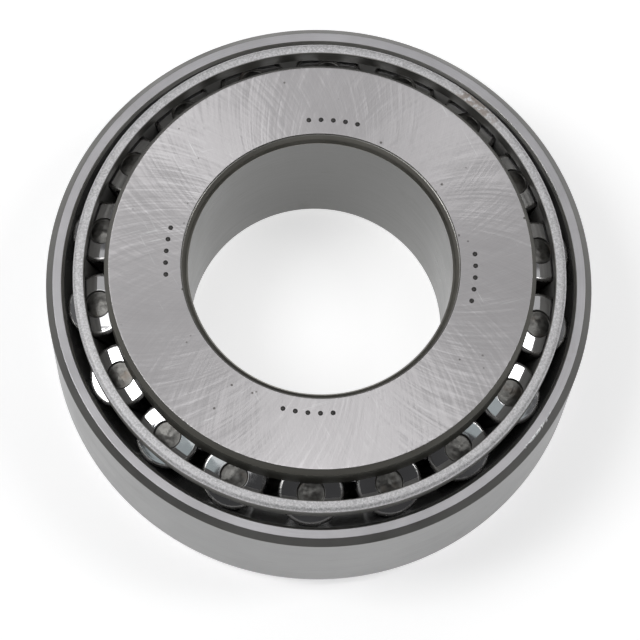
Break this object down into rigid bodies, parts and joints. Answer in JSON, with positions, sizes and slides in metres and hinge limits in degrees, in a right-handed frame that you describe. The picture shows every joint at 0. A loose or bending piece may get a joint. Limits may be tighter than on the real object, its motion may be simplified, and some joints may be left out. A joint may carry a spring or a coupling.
{
  "type": "tapered roller bearing",
  "caption": "Tapered roller bearing: conical rollers in a pressed cage run between a bored inner ring and a plain outer ring, to carry radial and thrust load.",
  "frame": {"origin": "on the bearing axis, in the plane of the outer ring's back face, which the bearing rests on", "axes": "+Z along the bearing axis, towards the inner ring's back face; +X through the first roller"},
  "size_m": [0.0762, 0.0762, 0.0294],
  "materials": {
    "outer_ring_steel": "ground hardened bearing steel",
    "inner_ring_steel": "ground hardened bearing steel, cross-hatched back face",
    "cage_steel": "tumbled pressed sheet steel",
    "roller_steel": "superfinished bearing steel with as-forged end dimples"
  },
  "bodies": {
    "outer_ring": {"outer_ring": "outer_ring_steel"},
    "inner_ring": {"inner_ring": "inner_ring_steel"},
    "cage": {"cage": "cage_steel"},
    "roller_01": {"roller_01": "roller_steel"},
    "roller_02": {"roller_02": "roller_steel"},
    "roller_03": {"roller_03": "roller_steel"},
    "roller_04": {"roller_04": "roller_steel"},
    "roller_05": {"roller_05": "roller_steel"},
    "roller_06": {"roller_06": "roller_steel"},
    "roller_07": {"roller_07": "roller_steel"},
    "roller_08": {"roller_08": "roller_steel"},
    "roller_09": {"roller_09": "roller_steel"},
    "roller_10": {"roller_10": "roller_steel"},
    "roller_11": {"roller_11": "roller_steel"},
    "roller_12": {"roller_12": "roller_steel"},
    "roller_13": {"roller_13": "roller_steel"},
    "roller_14": {"roller_14": "roller_steel"},
    "roller_15": {"roller_15": "roller_steel"},
    "roller_16": {"roller_16": "roller_steel"},
    "roller_17": {"roller_17": "roller_steel"},
    "roller_18": {"roller_18": "roller_steel"}
  },
  "joints": [
    {"name": "inner_ring_spin", "type": "hinge", "parent": "outer_ring", "child": "inner_ring", "pos_m": [0, 0, 0.01469], "axis": [0, 0, 1], "continuous": true},
    {"name": "cage_spin", "type": "hinge", "parent": "outer_ring", "child": "cage", "pos_m": [0, 0, 0.01469], "axis": [0, 0, 1], "continuous": true},
    {"name": "roller_01_spin", "type": "hinge", "parent": "cage", "child": "roller_01", "pos_m": [0.02792, 0, 0.01409], "axis": [0.3007, 0, 0.9537], "continuous": true},
    {"name": "roller_02_spin", "type": "hinge", "parent": "cage", "child": "roller_02", "pos_m": [0.02623, 0.00955, 0.01409], "axis": [0.2826, 0.1028, 0.9537], "continuous": true},
    {"name": "roller_03_spin", "type": "hinge", "parent": "cage", "child": "roller_03", "pos_m": [0.02139, 0.01795, 0.01409], "axis": [0.2304, 0.1933, 0.9537], "continuous": true},
    {"name": "roller_04_spin", "type": "hinge", "parent": "cage", "child": "roller_04", "pos_m": [0.01396, 0.02418, 0.01409], "axis": [0.1504, 0.2604, 0.9537], "continuous": true},
    {"name": "roller_05_spin", "type": "hinge", "parent": "cage", "child": "roller_05", "pos_m": [0.00485, 0.02749, 0.01409], "axis": [0.0522, 0.2961, 0.9537], "continuous": true},
    {"name": "roller_06_spin", "type": "hinge", "parent": "cage", "child": "roller_06", "pos_m": [-0.00485, 0.02749, 0.01409], "axis": [-0.0522, 0.2961, 0.9537], "continuous": true},
    {"name": "roller_07_spin", "type": "hinge", "parent": "cage", "child": "roller_07", "pos_m": [-0.01396, 0.02418, 0.01409], "axis": [-0.1504, 0.2604, 0.9537], "continuous": true},
    {"name": "roller_08_spin", "type": "hinge", "parent": "cage", "child": "roller_08", "pos_m": [-0.02139, 0.01795, 0.01409], "axis": [-0.2304, 0.1933, 0.9537], "continuous": true},
    {"name": "roller_09_spin", "type": "hinge", "parent": "cage", "child": "roller_09", "pos_m": [-0.02623, 0.00955, 0.01409], "axis": [-0.2826, 0.1028, 0.9537], "continuous": true},
    {"name": "roller_10_spin", "type": "hinge", "parent": "cage", "child": "roller_10", "pos_m": [-0.02792, 0, 0.01409], "axis": [-0.3007, 0, 0.9537], "continuous": true},
    {"name": "roller_11_spin", "type": "hinge", "parent": "cage", "child": "roller_11", "pos_m": [-0.02623, -0.00955, 0.01409], "axis": [-0.2826, -0.1028, 0.9537], "continuous": true},
    {"name": "roller_12_spin", "type": "hinge", "parent": "cage", "child": "roller_12", "pos_m": [-0.02139, -0.01795, 0.01409], "axis": [-0.2304, -0.1933, 0.9537], "continuous": true},
    {"name": "roller_13_spin", "type": "hinge", "parent": "cage", "child": "roller_13", "pos_m": [-0.01396, -0.02418, 0.01409], "axis": [-0.1504, -0.2604, 0.9537], "continuous": true},
    {"name": "roller_14_spin", "type": "hinge", "parent": "cage", "child": "roller_14", "pos_m": [-0.00485, -0.02749, 0.01409], "axis": [-0.0522, -0.2961, 0.9537], "continuous": true},
    {"name": "roller_15_spin", "type": "hinge", "parent": "cage", "child": "roller_15", "pos_m": [0.00485, -0.02749, 0.01409], "axis": [0.0522, -0.2961, 0.9537], "continuous": true},
    {"name": "roller_16_spin", "type": "hinge", "parent": "cage", "child": "roller_16", "pos_m": [0.01396, -0.02418, 0.01409], "axis": [0.1504, -0.2604, 0.9537], "continuous": true},
    {"name": "roller_17_spin", "type": "hinge", "parent": "cage", "child": "roller_17", "pos_m": [0.02139, -0.01795, 0.01409], "axis": [0.2304, -0.1933, 0.9537], "continuous": true},
    {"name": "roller_18_spin", "type": "hinge", "parent": "cage", "child": "roller_18", "pos_m": [0.02623, -0.00955, 0.01409], "axis": [0.2826, -0.1028, 0.9537], "continuous": true}
  ],
  "couplings": [
    {"joint": "cage_spin", "follows": "inner_ring_spin", "ratio": 0.42938},
    {"joint": "roller_01_spin", "follows": "inner_ring_spin", "ratio": -3.3087},
    {"joint": "roller_02_spin", "follows": "inner_ring_spin", "ratio": -3.3087},
    {"joint": "roller_03_spin", "follows": "inner_ring_spin", "ratio": -3.3087},
    {"joint": "roller_04_spin", "follows": "inner_ring_spin", "ratio": -3.3087},
    {"joint": "roller_05_spin", "follows": "inner_ring_spin", "ratio": -3.3087},
    {"joint": "roller_06_spin", "follows": "inner_ring_spin", "ratio": -3.3087},
    {"joint": "roller_07_spin", "follows": "inner_ring_spin", "ratio": -3.3087},
    {"joint": "roller_08_spin", "follows": "inner_ring_spin", "ratio": -3.3087},
    {"joint": "roller_09_spin", "follows": "inner_ring_spin", "ratio": -3.3087},
    {"joint": "roller_10_spin", "follows": "inner_ring_spin", "ratio": -3.3087},
    {"joint": "roller_11_spin", "follows": "inner_ring_spin", "ratio": -3.3087},
    {"joint": "roller_12_spin", "follows": "inner_ring_spin", "ratio": -3.3087},
    {"joint": "roller_13_spin", "follows": "inner_ring_spin", "ratio": -3.3087},
    {"joint": "roller_14_spin", "follows": "inner_ring_spin", "ratio": -3.3087},
    {"joint": "roller_15_spin", "follows": "inner_ring_spin", "ratio": -3.3087},
    {"joint": "roller_16_spin", "follows": "inner_ring_spin", "ratio": -3.3087},
    {"joint": "roller_17_spin", "follows": "inner_ring_spin", "ratio": -3.3087},
    {"joint": "roller_18_spin", "follows": "inner_ring_spin", "ratio": -3.3087}
  ]
}
